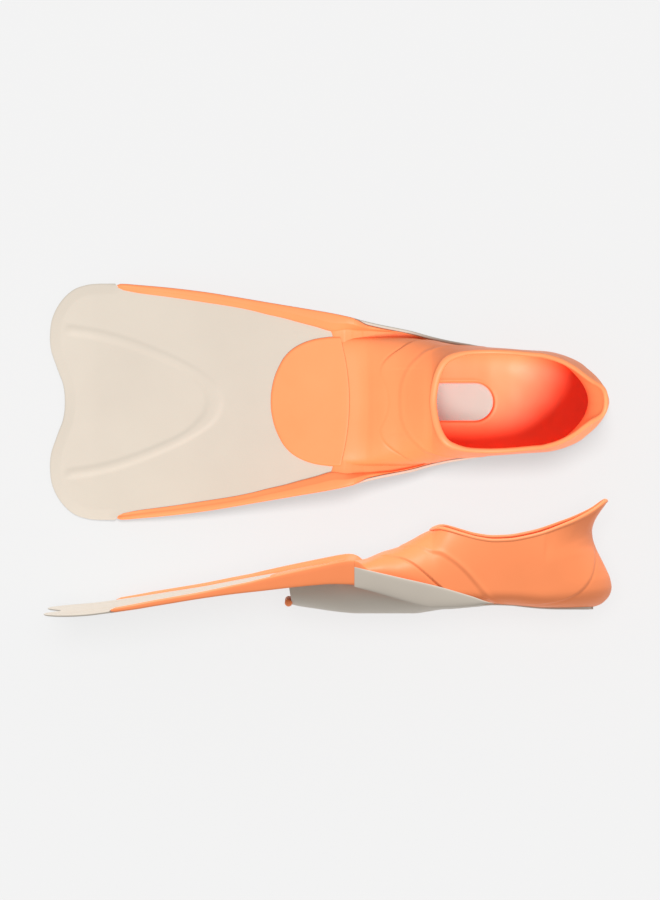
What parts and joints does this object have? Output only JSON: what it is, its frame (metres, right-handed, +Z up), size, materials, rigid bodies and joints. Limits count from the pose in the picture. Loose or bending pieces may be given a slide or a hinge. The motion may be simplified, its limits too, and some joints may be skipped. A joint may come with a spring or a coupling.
{
  "type": "swim fins",
  "caption": "Full-foot swim fins with fish-tail blades, soft edge rails, tongue panels and closed-heel foot pockets with pull tabs.",
  "frame": {"origin": "middle of the base of the pair's bounding box, on the floor", "axes": "+X from the blade tips to the heels, +Y from fin b to fin a, +Z up"},
  "size_m": [0.5048, 0.2962, 0.2125],
  "materials": {
    "stiff_pale": "satin pale beige moulding",
    "soft_orange": "smooth satin soft rubber, coral orange"
  },
  "bodies": {
    "foot_a": {"blade_root_a": "stiff_pale", "toe_panel_a": "soft_orange", "rail_rear_left_a": "soft_orange", "rail_rear_right_a": "soft_orange", "wing_left_a": "stiff_pale", "wing_right_a": "stiff_pale", "sole_a": "stiff_pale", "toe_cap_a": "soft_orange", "instep_band_a": "soft_orange", "heel_cup_a": "soft_orange", "footbed_a": "soft_orange", "footbed_insert_a": "stiff_pale", "toe_lip_a": "soft_orange", "rim_bead_a": "soft_orange"},
    "blade_a": {"blade_a": "stiff_pale", "rail_front_left_a": "soft_orange", "rail_front_right_a": "soft_orange"},
    "tab_a": {"heel_tab_a": "soft_orange"},
    "foot_b": {"blade_root_b": "stiff_pale", "toe_panel_b": "soft_orange", "rail_rear_left_b": "soft_orange", "rail_rear_right_b": "soft_orange", "wing_left_b": "stiff_pale", "wing_right_b": "stiff_pale", "sole_b": "stiff_pale", "toe_cap_b": "soft_orange", "instep_band_b": "soft_orange", "heel_cup_b": "soft_orange", "footbed_b": "soft_orange", "footbed_insert_b": "stiff_pale", "toe_lip_b": "soft_orange", "rim_bead_b": "soft_orange"},
    "blade_b": {"blade_b": "stiff_pale", "rail_front_left_b": "soft_orange", "rail_front_right_b": "soft_orange"},
    "tab_b": {"heel_tab_b": "soft_orange"}
  },
  "joints": [
    {"name": "blade_flex_a", "type": "hinge", "parent": "foot_a", "child": "blade_a", "pos_m": [-0.06105, 0.04192, 0.02984], "axis": [0, 1, 0], "range_deg": [-15, 25], "stiffness_Nm_per_rad": 2.5},
    {"name": "heel_tab_flex_a", "type": "hinge", "parent": "foot_a", "child": "tab_a", "pos_m": [0.23495, 0.04192, 0.08093], "axis": [0, 1, 0], "range_deg": [0, 40], "stiffness_Nm_per_rad": 0.2},
    {"name": "blade_flex_b", "type": "hinge", "parent": "foot_b", "child": "blade_b", "pos_m": [-0.06155, -0.11625, 0.10688], "axis": [0, 0.0262, -0.9997], "range_deg": [-15, 25], "stiffness_Nm_per_rad": 2.5},
    {"name": "heel_tab_flex_b", "type": "hinge", "parent": "foot_b", "child": "tab_b", "pos_m": [0.23445, -0.06518, 0.10821], "axis": [0, 0.0262, -0.9997], "range_deg": [0, 40], "stiffness_Nm_per_rad": 0.2},
    {"name": "fin_b_lift", "type": "slide", "parent": "foot_a", "child": "foot_b", "axis": [0, 0, 1], "range_m": [0, 0.25]}
  ]
}
